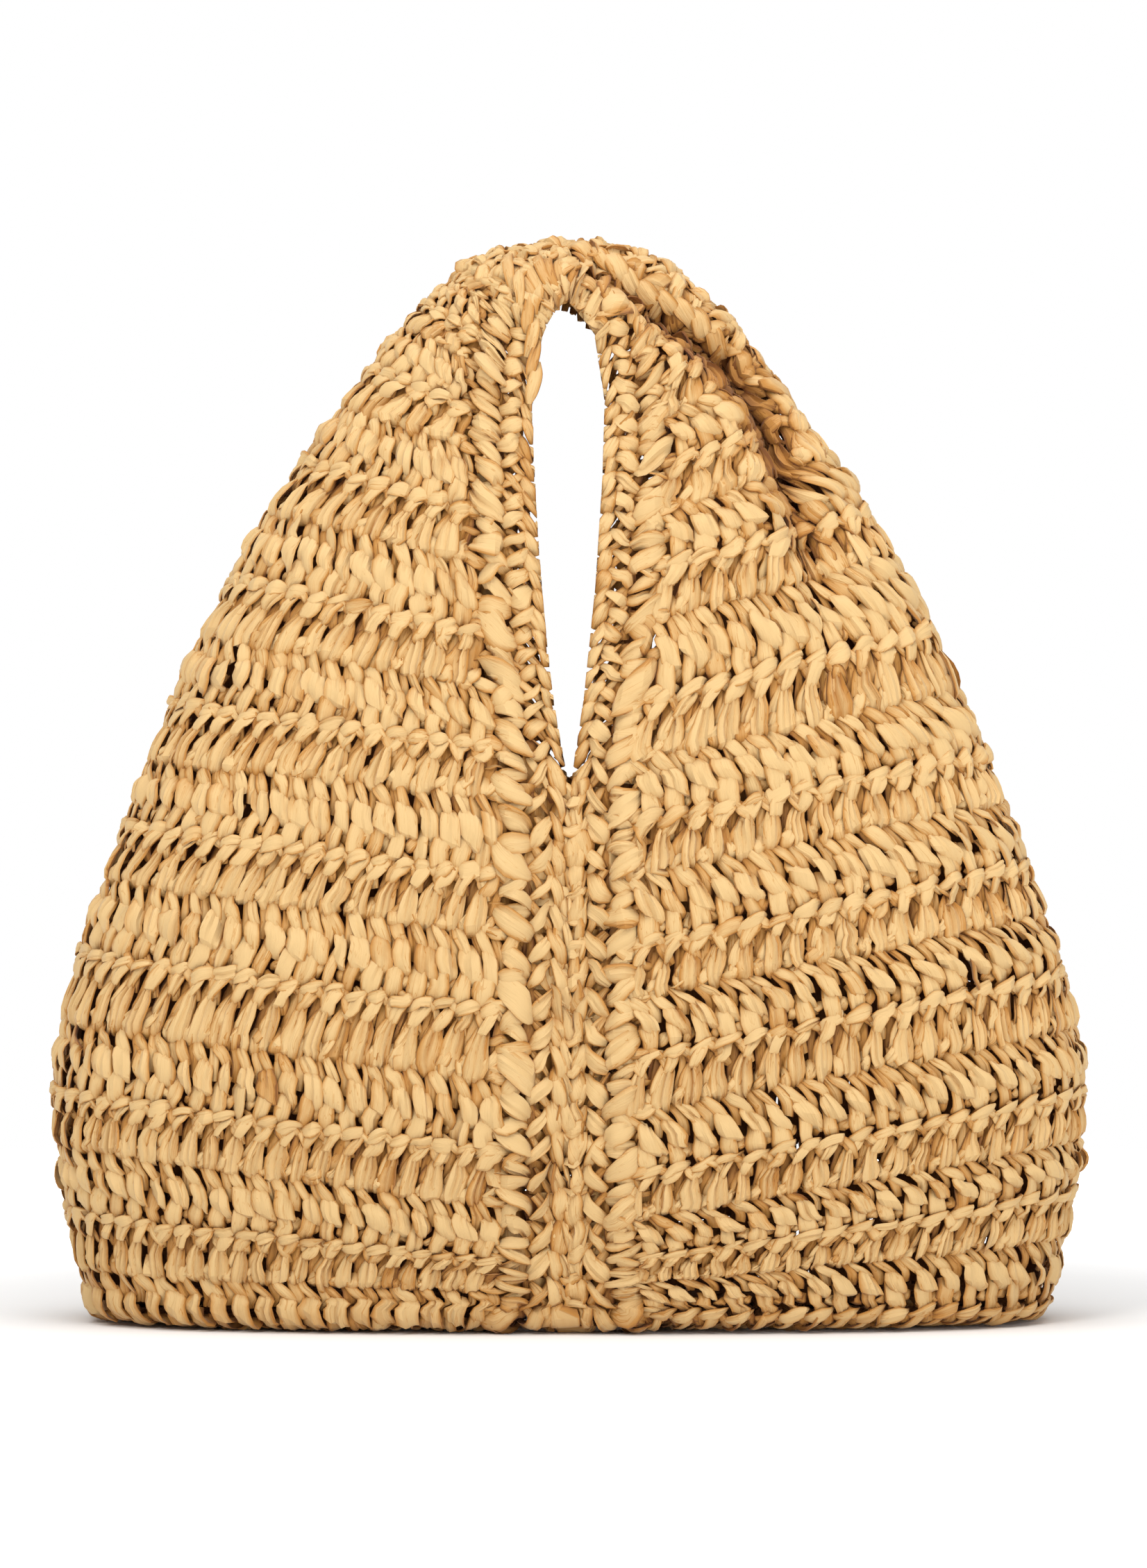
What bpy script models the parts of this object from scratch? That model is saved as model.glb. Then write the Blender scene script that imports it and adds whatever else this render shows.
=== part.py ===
"""Hobo bag crocheted from wide paper ribbon.

Two side panels wrap from the front centre seam round the sides to the back centre seam. Above the
seam their free edges form a front and a back slot, and the panels taper into two tongues that meet
at the crown, which is the shoulder strap. The origin is at the middle of the bottom: X is the width,
-Y the front, Z up. All lengths are in metres.
"""

import math

import bmesh
import bpy
import numpy as np

# Driving dimensions.
FABRIC = 0.006  # thickness of the worked fabric
BORDER_FABRIC = 0.0072  # the single crochet beside the seam and the slot is thicker
CLEARANCE = 0.0014  # between neighbouring sections
BORDER_WIDTH = 0.0235  # two to three columns of single crochet
BORDER_SHARE = 0.22  # the most that a border takes of its row, near the crown
SEAM_HALF_GAP = 0.0035  # half the valley between the two borders, which the lacing fills
SEAM_TOP_STATION = 5.3  # the slots open above this station
VALLEY_DEPTH = 0.005  # how far the borders roll in at the seam
VALLEY_WIDTH = 0.016
EDGE_RADIUS = 0.009  # middle of the fabric where the wall turns under
BASE_MIDDLE_Z = 0.0034  # middle of the fabric at the turned edge's foot
PLAN_POWER_BASE = 2.6  # plan section: 2 is an ellipse, more is squarer
PLAN_POWER_CROWN = 2.0

# Stations from the base to the crown, one for each pair of stitch rows.
# Each line: side point x and z, seam or slot edge x and z, half depth.
STATIONS = np.array(
    (
        (0.2060, 0.0120, SEAM_HALF_GAP, 0.0120, 0.074),
        (0.2180, 0.0600, SEAM_HALF_GAP, 0.0360, 0.078),
        (0.2215, 0.1050, SEAM_HALF_GAP, 0.0780, 0.080),
        (0.2120, 0.1550, SEAM_HALF_GAP, 0.1270, 0.077),
        (0.1970, 0.2000, SEAM_HALF_GAP, 0.1720, 0.072),
        (0.1790, 0.2480, SEAM_HALF_GAP, 0.2200, 0.066),
        (0.1565, 0.3000, 0.0085, 0.2710, 0.059),
        (0.1300, 0.3500, 0.0135, 0.3200, 0.052),
        (0.0980, 0.3960, 0.0170, 0.3660, 0.045),
        (0.0660, 0.4320, 0.0175, 0.4000, 0.038),
        (0.0350, 0.4600, 0.0125, 0.4290, 0.032),
        (0.0000, 0.4715, 0.0000, 0.4430, 0.029),
    )
)
CROWN = len(STATIONS) - 1
TONGUE_END = 10.5  # the tongues stop here and the crown wrap begins
CROWN_GAP, CROWN_STEP = 0.07, 0.24  # stations from a tongue's end to the wrap, and to its next row
CROWN_PADDING = (0.0, 0.0006, 0.0010, 0.0006, 0.0)  # how far each row of the wrap stands out

# A ridge for each pair of rows: place within the ridge, and how far it stands out.
RIDGE = ((0.0, -0.0011), (0.16, 0.0012), (0.62, 0.0003))
RIDGE_SPACING = 0.05  # no corner comes nearer than this to a section's end

# The fold down the front of the right tongue, from the crown outwards: x, z, depth.
FOLD = np.array(
    (
        (0.030, 0.433, 0.000),
        (0.060, 0.412, 0.011),
        (0.080, 0.376, 0.013),
        (0.092, 0.340, 0.010),
        (0.106, 0.295, 0.000),
    )
)
FOLD_WIDTH = 0.0115

# The strap folds about an axis along X, and the two bodies part on a cylinder about that axis.
HINGE_Z = 0.335
KNUCKLE_RADIUS = 0.060
KNUCKLE_CLEARANCE = 0.0006
KNUCKLE_SIDES = 48
CUTTER_REACH, CUTTER_TOP = 0.4, 0.6  # well outside the bag

LACING_WIRE = 0.0011
LACING_SWING = 0.0017
LACING_PITCH = 0.010
LACING_FOOT, LACING_HEAD = 0.15, SEAM_TOP_STATION - 0.25  # stations
LACING_SAMPLES = 60
TACK_SIZE = (0.0024, 0.0036, 0.0050)

CURVE_SAMPLES = 241
PANEL_COLUMNS = 20
BORDER_COLUMNS = 2
RING_COLUMNS = 60
RING_STEPS = 4

STRAW = (0.73, 0.47, 0.19)
SIDES = {"left": -1.0, "right": 1.0}


def clear_scene():
    for obj in list(bpy.data.objects):
        bpy.data.objects.remove(obj, do_unlink=True)


def new_collection(name):
    collection = bpy.data.collections.new(name)
    bpy.context.scene.collection.children.link(collection)
    return collection


def straw_material(name, shade):
    """Paper ribbon: matte, one colour, each section a little lighter or darker."""
    material = bpy.data.materials.new(name)
    material.use_nodes = True
    bsdf = material.node_tree.nodes["Principled BSDF"]
    bsdf.inputs["Base Color"].default_value = (*(channel * shade for channel in STRAW), 1.0)
    bsdf.inputs["Roughness"].default_value = 0.72
    bsdf.inputs["Metallic"].default_value = 0.0
    return material


def station(t):
    """The stations' values at t, on a smooth curve that runs level over the crown."""
    before = 2.0 * STATIONS[0] - STATIONS[1]
    beyond = STATIONS[-2] * (-1.0, 1.0, -1.0, 1.0, 1.0)
    table = np.vstack((before, STATIONS, beyond))
    first = min(int(t), CROWN - 1)
    u = t - first
    p0, p1, p2, p3 = table[first : first + 4]
    slope = p2 - p0
    bend = 2.0 * p0 - 5.0 * p1 + 4.0 * p2 - p3
    twist = 3.0 * (p1 - p2) + p3 - p0
    return p1 + 0.5 * (slope * u + bend * u**2 + twist * u**3)


def fold_depth(x, z):
    """How far the right tongue's front is pushed in at x, z."""
    nearest = np.full(x.shape, 1.0)
    depth = np.zeros(x.shape)
    for start, end in zip(FOLD[:-1], FOLD[1:]):
        run = end[:2] - start[:2]
        along = ((x - start[0]) * run[0] + (z - start[1]) * run[1]) / (run @ run)
        along = np.clip(along, 0.0, 1.0)
        away = np.hypot(x - start[0] - along * run[0], z - start[1] - along * run[1])
        depth = np.where(away < nearest, start[2] + along * (end[2] - start[2]), depth)
        nearest = np.minimum(away, nearest)
    return depth * np.exp(-((nearest / FOLD_WIDTH) ** 2))


def row(t, side):
    """One row of stitches: points from the front edge to the back edge, and their distances."""
    side_x, side_z, edge_x, edge_z, half_depth = station(t)
    power = PLAN_POWER_BASE + (PLAN_POWER_CROWN - PLAN_POWER_BASE) * t / CROWN
    angle = np.linspace(0.0, math.pi, CURVE_SAMPLES)
    out = np.abs(np.sin(angle)) ** (2.0 / power)
    back = -np.sign(np.cos(angle)) * np.abs(np.cos(angle)) ** (2.0 / power)
    x = edge_x + (side_x - edge_x) * out
    y = half_depth * back
    z = edge_z + (side_z - edge_z) * out
    seam_share = min(1.0, t) * min(1.0, max(0.0, 1.0 - (t - SEAM_TOP_STATION) / 2.0))
    valley = VALLEY_DEPTH * seam_share * np.exp(-(((x - edge_x) / VALLEY_WIDTH) ** 2))
    y = y - np.sign(y) * valley
    if side > 0.0:
        y = y + np.where(y < 0.0, fold_depth(x, z), 0.0)
    points = np.column_stack((x * side, y, z))
    steps = np.linalg.norm(np.diff(points, axis=0), axis=1)
    return points, np.concatenate(([0.0], np.cumsum(steps)))


def ridge_height(t):
    """The height of the stitch ridges at t, which repeats once for each station."""
    places = [place for place, _ in RIDGE] + [1.0]
    heights = [height for _, height in RIDGE] + [RIDGE[0][1]]
    return float(np.interp(t % 1.0, places, heights))


def ridge_stations(low, high):
    """Stations from low to high with one at every corner of the ridges."""
    corners = [whole + place for whole in range(CROWN) for place, _ in RIDGE]
    inside = [t for t in corners if low + RIDGE_SPACING < t < high - RIDGE_SPACING]
    return [low, *inside, high]


def panel_places(length):
    border = min(BORDER_WIDTH, BORDER_SHARE * length) + CLEARANCE
    return np.linspace(border, length - border, PANEL_COLUMNS + 1)


def front_border_places(length):
    border = min(BORDER_WIDTH, BORDER_SHARE * length)
    return np.linspace(0.0, border, BORDER_COLUMNS + 1)


def back_border_places(length):
    border = min(BORDER_WIDTH, BORDER_SHARE * length)
    return np.linspace(length - border, length, BORDER_COLUMNS + 1)


def crown_places(length):
    return np.linspace(0.0, length, PANEL_COLUMNS + 1)


def surface_grid(rows, places):
    """Points on the bag: rows holds (t, side) pairs, places gives distances along a row."""
    grid = []
    for t, side in rows:
        points, distance = row(t, side)
        wanted = places(distance[-1])
        grid.append([[float(np.interp(s, distance, points[:, k])) for k in range(3)] for s in wanted])
    return np.array(grid)


def raised(grid, heights):
    """The grid moved outwards along its normals by one height for each row."""
    across = np.gradient(grid, axis=1)
    up = np.gradient(grid, axis=0)
    normal = np.cross(across, up)
    normal /= np.linalg.norm(normal, axis=2, keepdims=True)
    outwards = grid - np.array((0.0, 0.0, HINGE_Z / 2.0))
    if np.sum(normal * outwards) < 0.0:
        normal = -normal
    return grid + normal * np.array(heights)[:, None, None]


def sheet_object(name, grid, thickness, collection, material, closed=False):
    """A lofted sheet of fabric, thickened to both sides."""
    rows, columns = grid.shape[:2]
    mesh = bpy.data.meshes.new(name)
    shape = bmesh.new()
    corners = [[shape.verts.new(point) for point in line] for line in grid]
    for i in range(rows - 1):
        for j in range(columns if closed else columns - 1):
            k = (j + 1) % columns
            shape.faces.new((corners[i][j], corners[i][k], corners[i + 1][k], corners[i + 1][j]))
    bmesh.ops.recalc_face_normals(shape, faces=shape.faces)
    shape.to_mesh(mesh)
    shape.free()
    mesh.shade_smooth()
    obj = bpy.data.objects.new(name, mesh)
    collection.objects.link(obj)
    mesh.materials.append(material)
    solidify = obj.modifiers.new("fabric_thickness", "SOLIDIFY")
    solidify.thickness = thickness
    solidify.offset = 0.0
    return obj


def knuckle_cutter(name, radius, collection):
    """Everything above the cylinder on which the strap turns, from below its axis upwards."""
    reach = CUTTER_REACH
    outline = [(-reach, CUTTER_TOP), (-reach, HINGE_Z), (-radius, HINGE_Z)]
    for step in range(1, KNUCKLE_SIDES):
        turn = math.pi * step / KNUCKLE_SIDES
        outline.append((-radius * math.cos(turn), HINGE_Z - radius * math.sin(turn)))
    outline += [(radius, HINGE_Z), (reach, HINGE_Z), (reach, CUTTER_TOP)]
    mesh = bpy.data.meshes.new(name)
    shape = bmesh.new()
    face = shape.faces.new([shape.verts.new((-reach, y, z)) for y, z in outline])
    sweep = bmesh.ops.extrude_face_region(shape, geom=[face])
    moved = [item for item in sweep["geom"] if isinstance(item, bmesh.types.BMVert)]
    bmesh.ops.translate(shape, vec=(2.0 * reach, 0.0, 0.0), verts=moved)
    bmesh.ops.recalc_face_normals(shape, faces=shape.faces)
    shape.to_mesh(mesh)
    shape.free()
    obj = bpy.data.objects.new(name, mesh)
    collection.objects.link(obj)
    obj.hide_render = True
    obj.display_type = "WIRE"
    return obj


def part_on_knuckle(obj, cutter, operation):
    cut = obj.modifiers.new("strap_knuckle", "BOOLEAN")
    cut.operation = operation
    cut.solver = "EXACT"
    cut.object = cutter


def side_sections(bag, cutters):
    """The panels and borders of both sides, each parted into a body half and a strap half."""
    strap_cutter = knuckle_cutter("strap_side", KNUCKLE_RADIUS, cutters)
    body_cutter = knuckle_cutter("body_side", KNUCKLE_RADIUS + KNUCKLE_CLEARANCE, cutters)
    sections = (
        ("panel_{}", "tongue_{}", panel_places, FABRIC, 1.0),
        ("seam_border_front_{}", "slot_edging_front_{}", front_border_places, BORDER_FABRIC, 0.9),
        ("seam_border_back_{}", "slot_edging_back_{}", back_border_places, BORDER_FABRIC, 0.9),
    )
    stations = ridge_stations(0.0, TONGUE_END)
    heights = [ridge_height(t) for t in stations]
    heights[0] = 0.0
    for word, side in SIDES.items():
        for body_name, strap_name, places, thickness, shade in sections:
            grid = surface_grid([(t, side) for t in stations], places)
            grid = raised(grid, heights)
            for name, cutter, operation in (
                (body_name.format(word), body_cutter, "DIFFERENCE"),
                (strap_name.format(word), strap_cutter, "INTERSECT"),
            ):
                material = straw_material(name, shade)
                obj = sheet_object(name, grid, thickness, bag, material)
                part_on_knuckle(obj, cutter, operation)


def base_outline():
    """The foot of the walls, all round: right side front to back, then left side back to front."""
    grid = surface_grid([(0.0, 1.0), (0.0, -1.0)], lambda length: np.linspace(0.0, length, RING_COLUMNS // 2))
    return np.vstack((grid[0], grid[1][::-1]))


def inwards(outline):
    """Unit vectors in plan from the outline towards its inside."""
    along = np.roll(outline, -1, axis=0) - np.roll(outline, 1, axis=0)
    normal = np.column_stack((-along[:, 1], along[:, 0], np.zeros(len(outline))))
    return normal / np.linalg.norm(normal, axis=1, keepdims=True)


def base_sections(bag):
    """The turned edge round the foot of the walls, and the flat base inside it."""
    outline = base_outline()
    normal = inwards(outline)
    top = STATIONS[0][1] - CLEARANCE
    rows = []
    for step in range(RING_STEPS + 1):
        turn = 0.5 * math.pi * step / RING_STEPS
        inset = EDGE_RADIUS * (1.0 - math.cos(turn))
        height = top - (top - BASE_MIDDLE_Z) * math.sin(turn)
        level = outline + normal * inset
        level[:, 2] = height
        rows.append(level)
    ring_material = straw_material("base_edge", 0.92)
    sheet_object("base_edge", np.array(rows), FABRIC, bag, ring_material, closed=True)
    inner = outline + normal * (EDGE_RADIUS + CLEARANCE)
    curve = bpy.data.curves.new("base_panel", "CURVE")
    curve.dimensions = "2D"
    curve.fill_mode = "BOTH"
    curve.extrude = FABRIC / 2.0
    spline = curve.splines.new("POLY")
    spline.points.add(len(inner) - 1)
    for point, place in zip(spline.points, inner):
        point.co = (place[0], place[1], 0.0, 1.0)
    spline.use_cyclic_u = True
    base = bpy.data.objects.new("base_panel", curve)
    base.location.z = FABRIC / 2.0
    bag.objects.link(base)
    curve.materials.append(straw_material("base_panel", 0.86))


def seam_middle(t, front):
    """The middle of the valley at t, between the left and the right border."""
    points, _ = row(t, -1.0)
    edge = points[0] if front else points[-1]
    return np.array((0.0, edge[1], edge[2]))


def lacings(bag):
    """The strand that crosses the valley and draws the two borders together, front and back."""
    for word, front in (("front", True), ("back", False)):
        path = [seam_middle(t, front) for t in np.linspace(LACING_FOOT, LACING_HEAD, LACING_SAMPLES)]
        length = np.concatenate(([0.0], np.cumsum(np.linalg.norm(np.diff(path, axis=0), axis=1))))
        turns = round(length[-1] / LACING_PITCH)
        name = f"seam_lacing_{word}"
        curve = bpy.data.curves.new(name, "CURVE")
        curve.dimensions = "3D"
        curve.bevel_depth = LACING_WIRE
        curve.bevel_resolution = 1
        curve.use_fill_caps = True
        spline = curve.splines.new("POLY")
        count = 4 * turns + 1
        spline.points.add(count - 1)
        outwards = -1.0 if front else 1.0
        for k in range(count):
            place = length[-1] * k / (count - 1)
            y, z = (float(np.interp(place, length, np.array(path)[:, axis])) for axis in (1, 2))
            swing = LACING_SWING * math.sin(0.5 * math.pi * k)
            lift = outwards * LACING_SWING * math.cos(0.5 * math.pi * k)
            spline.points[k].co = (swing, y + lift, z, 1.0)
        obj = bpy.data.objects.new(name, curve)
        bag.objects.link(obj)
        curve.materials.append(straw_material(name, 0.8))


def slot_tacks(bag):
    """The knot at the foot of each slot, where the seam's lacing ends."""
    for word, front in (("front", True), ("back", False)):
        name = f"slot_tack_{word}"
        mesh = bpy.data.meshes.new(name)
        shape = bmesh.new()
        bmesh.ops.create_uvsphere(shape, u_segments=12, v_segments=8, radius=1.0)
        bmesh.ops.scale(shape, vec=TACK_SIZE, verts=shape.verts)
        shape.to_mesh(mesh)
        shape.free()
        mesh.shade_smooth()
        obj = bpy.data.objects.new(name, mesh)
        obj.location = seam_middle(SEAM_TOP_STATION, front)
        bag.objects.link(obj)
        mesh.materials.append(straw_material(name, 0.95))


def crown_wrap(bag):
    """The gathered strands over the crown, between the ends of the two tongues."""
    start = TONGUE_END + CROWN_GAP
    rows = [(t, -1.0) for t in (start, start + CROWN_STEP)]
    rows += [(float(CROWN), -1.0)]
    rows += [(t, 1.0) for t in (start + CROWN_STEP, start)]
    grid = surface_grid(rows, crown_places)
    grid = raised(grid, CROWN_PADDING)
    sheet_object("crown_wrap", grid, BORDER_FABRIC, bag, straw_material("crown_wrap", 1.05))


def main():
    clear_scene()
    bag = new_collection("hobo_bag")
    cutters = new_collection("cutters")
    side_sections(bag, cutters)
    base_sections(bag)
    lacings(bag)
    slot_tacks(bag)
    crown_wrap(bag)


main()
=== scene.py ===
"""Looks of the hobo bag: every stitch of the crochet is a folded paper ribbon laid over the frame.

The bag's surface is the same loft as the frame's. A place on it is (side, t, u, c): t counts the
stations from the base to the crown, u runs along a row of stitches to the right as seen from
outside, and c stands off the fabric. Lengths are metres; stitch patterns are in millimetres.
"""

import math  # noqa: E402

import bpy  # noqa: E402
import numpy as np  # noqa: E402
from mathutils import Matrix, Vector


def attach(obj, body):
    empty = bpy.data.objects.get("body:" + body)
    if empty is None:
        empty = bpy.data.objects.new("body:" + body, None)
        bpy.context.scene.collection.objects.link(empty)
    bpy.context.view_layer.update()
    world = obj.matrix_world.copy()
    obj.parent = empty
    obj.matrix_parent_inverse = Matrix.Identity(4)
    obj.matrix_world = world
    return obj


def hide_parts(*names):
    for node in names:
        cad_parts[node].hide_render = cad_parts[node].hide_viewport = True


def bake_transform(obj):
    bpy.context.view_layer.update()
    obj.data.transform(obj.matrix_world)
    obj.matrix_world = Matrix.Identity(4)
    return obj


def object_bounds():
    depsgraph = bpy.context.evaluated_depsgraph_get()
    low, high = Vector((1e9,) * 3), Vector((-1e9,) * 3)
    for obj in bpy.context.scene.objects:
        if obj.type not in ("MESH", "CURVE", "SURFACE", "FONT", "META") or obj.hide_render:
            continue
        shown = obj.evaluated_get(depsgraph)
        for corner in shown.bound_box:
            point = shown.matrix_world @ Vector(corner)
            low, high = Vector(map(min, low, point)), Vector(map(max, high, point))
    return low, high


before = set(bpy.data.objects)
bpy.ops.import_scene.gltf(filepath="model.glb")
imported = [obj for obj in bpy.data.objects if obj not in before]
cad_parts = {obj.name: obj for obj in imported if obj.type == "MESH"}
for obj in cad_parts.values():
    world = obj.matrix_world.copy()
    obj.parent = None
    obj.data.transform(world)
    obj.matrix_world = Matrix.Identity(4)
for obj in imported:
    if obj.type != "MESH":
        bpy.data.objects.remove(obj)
cad_low, cad_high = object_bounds()

MM = 0.001
NOMINAL_BOX = np.array((0.4499, 0.1675, 0.4761))
SCALE = np.array(cad_high - cad_low) / NOMINAL_BOX

# Stations from the base to the crown: side point x and z, seam or slot edge x and z, half depth.
STATIONS = np.array(
    (
        (0.2075, 0.0120, 0.0000, 0.0120, 0.074),
        (0.2180, 0.0600, 0.0000, 0.0360, 0.078),
        (0.2215, 0.1050, 0.0000, 0.0790, 0.080),
        (0.2120, 0.1550, 0.0000, 0.1280, 0.077),
        (0.1970, 0.2000, 0.0000, 0.1740, 0.072),
        (0.1790, 0.2480, 0.0000, 0.2290, 0.066),
        (0.1565, 0.3000, 0.0065, 0.2710, 0.059),
        (0.1300, 0.3500, 0.0115, 0.3200, 0.052),
        (0.0980, 0.3960, 0.0145, 0.3660, 0.045),
        (0.0690, 0.4340, 0.0155, 0.4000, 0.039),
        (0.0400, 0.4590, 0.0110, 0.4290, 0.033),
        (0.0000, 0.4675, 0.0000, 0.4430, 0.030),
    )
)
STATIONS[:, (0, 2)] *= SCALE[0]
STATIONS[:, (1, 3)] *= SCALE[2]
STATIONS[:, 4] *= SCALE[1]
CROWN = len(STATIONS) - 1
# The rows of the right half meet the seam this much lower than those of the left half.
EDGE_DROP = np.array((0.0, 0.006, 0.012, 0.012, 0.013, 0.016, 0.007, 0.0, 0.0, 0.0, 0.0, 0.0))
BASE = -1.6
STATION_RISE = 0.048
PLAN_POWER = (2.6, 2.0)
SEAM_TOP_Z = 0.2435 * SCALE[2]
SEAM_LEVEL = 5.3
VALLEY_DEPTH, VALLEY_WIDTH = 0.007, 0.016
# The back slot is this much wider and higher than the front one.
BACK_SLOT_SHIFT = (0.0035, 0.0075)
# It starts to rise this many stations below the crown. The seam's valley fades out over VALLEY_FADE
# stations above the seam.
SLOT_RISE_SPAN, VALLEY_FADE = 3.0, 2.0
# The foot turns under round this radius to BASE_Z, and no ribbon goes below GROUND_Z. On the base no
# row gets nearer the middle than the two gaps.
TURN_RADIUS, BASE_Z, GROUND_Z = 0.007, 0.0055, 0.0002
BASE_GAP_X, BASE_GAP_Y = 0.0035, 0.001
BORDER_WIDTH, BORDER_SHARE = 0.0300, 0.25

# The fold down the right tongue, from the crown outwards: x, z, depth. It is steep on the slot's side.
FOLD = np.array(
    (
        (0.0030, 0.4560, 0.004),
        (0.0185, 0.4450, 0.013),
        (0.0302, 0.4330, 0.018),
        (0.0447, 0.4223, 0.022),
        (0.0602, 0.4117, 0.025),
        (0.0728, 0.3933, 0.026),
        (0.0805, 0.3758, 0.024),
        (0.0864, 0.3593, 0.020),
        (0.0922, 0.3399, 0.015),
        (0.0990, 0.3207, 0.010),
        (0.1060, 0.2950, 0.004),
        (0.1090, 0.2800, 0.000),
    )
)
FOLD_DEEPEST = FOLD[:, 2].max()
FOLD_VALLEY, FOLD_SLOT_WIDTH, FOLD_OUTER_WIDTH = 0.003, 0.0055, 0.013
FOLD_RIDGE, FOLD_RIDGE_WIDTH, FOLD_OVERLAP, FOLD_ROLL = -0.004, 0.008, 0.003, 0.003
# Painted shade at the bottom of the fold: its strength, and the y where it starts and where it is full.
FOLD_SHADE, FOLD_SHADE_FROM, FOLD_SHADE_TO = 0.75, -0.044, -0.022
# The right half's front rows stay lower beside the slot and climb later. This grows from station
# FOLD_LEAN_FROM over FOLD_LEAN_RISE stations, and fades over the last FOLD_LEAN_END below the crown.
FOLD_LEAN, FOLD_LEAN_FROM, FOLD_LEAN_RISE, FOLD_LEAN_END = 0.4, 5.0, 2.5, 1.5

# Heights at the side of the dark lines under every second row, as stations, for each side.
ROW_LINES = {
    "left": (-1.6, -0.85, 0.27, 1.42, 2.54, 3.85, 4.93, 5.97, 7.04, 8.05, 8.98, 9.70, 10.4, 11.0),
    "right": (-1.5, -0.55, 0.55, 1.47, 2.48, 3.50, 4.56, 5.52, 6.66, 7.57, 8.50, 9.35, 10.2, 11.0),
}
SIDES = {"left": -1.0, "right": 1.0}
COLUMN = {"left": 9.5, "right": 11.2}
# How wide the ribbons of a row are, against their patterns: at these stations, for each side.
BREADTH_STATIONS = (0.0, 2.5, 5.0)
BREADTH = {"left": (0.90, 0.96, 1.0), "right": (0.86, 0.91, 1.06)}
LINING_TOP, LINING_GAP = 8.0, 0.12
CHAIN_SHARE = 0.46

rng = np.random.default_rng(11)


# ---------------------------------------------------------------- the surface


def station(t):
    """The stations' values at t, on a smooth curve that runs level over the crown."""
    before = 2.0 * STATIONS[0] - STATIONS[1]
    beyond = STATIONS[-2] * (-1.0, 1.0, -1.0, 1.0, 1.0)
    table = np.vstack((before, STATIONS, beyond))
    first = min(int(t), CROWN - 1)
    u = t - first
    p0, p1, p2, p3 = table[first : first + 4]
    bend = 2.0 * p0 - 5.0 * p1 + 4.0 * p2 - p3
    twist = 3.0 * (p1 - p2) + p3 - p0
    return p1 + 0.5 * ((p2 - p0) * u + bend * u**2 + twist * u**3)


def fold_shift(x, z):
    """How far the right tongue's front is moved at x, z: a roll is pushed out over a valley."""
    nearest = np.full(x.shape, 1.0)
    depth = np.zeros(x.shape)
    signed = np.zeros(x.shape)
    out_x = np.zeros(x.shape)
    out_z = np.zeros(x.shape)
    for start, end in zip(FOLD[:-1], FOLD[1:]):
        run = end[:2] - start[:2]
        along = ((x - start[0]) * run[0] + (z - start[1]) * run[1]) / (run @ run)
        along = np.clip(along, 0.0, 1.0)
        off_x = x - start[0] - along * run[0]
        off_z = z - start[1] - along * run[1]
        away = np.hypot(off_x, off_z)
        closer = away < nearest
        outward = np.array((-run[1], run[0])) / np.linalg.norm(run)
        depth = np.where(closer, start[2] + along * (end[2] - start[2]), depth)
        signed = np.where(closer, away * np.sign(off_x * outward[0] + off_z * outward[1]), signed)
        out_x = np.where(closer, outward[0], out_x)
        out_z = np.where(closer, outward[1], out_z)
        nearest = np.minimum(away, nearest)
    share = depth / FOLD_DEEPEST
    width = np.where(signed > FOLD_VALLEY, FOLD_OUTER_WIDTH, FOLD_SLOT_WIDTH)
    valley = depth * np.exp(-(((signed - FOLD_VALLEY) / width) ** 2))
    ridge = share * np.exp(-(((signed - FOLD_RIDGE) / FOLD_RIDGE_WIDTH) ** 2))
    return (
        FOLD_OVERLAP * ridge * out_x,
        valley - FOLD_ROLL * ridge,
        FOLD_OVERLAP * ridge * out_z,
    )


def fold_painted_shade(world):
    """How much painted shade darkens the ribbons at the bottom of the fold."""
    x, y, z = np.moveaxis(world, -1, 0)
    inside = np.clip((y - FOLD_SHADE_FROM) / (FOLD_SHADE_TO - FOLD_SHADE_FROM), 0.0, 1.0)
    return FOLD_SHADE * inside * np.clip(fold_shift(x, z)[1] / FOLD_DEEPEST, 0.0, 1.0) * (y < 0.0)


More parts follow.
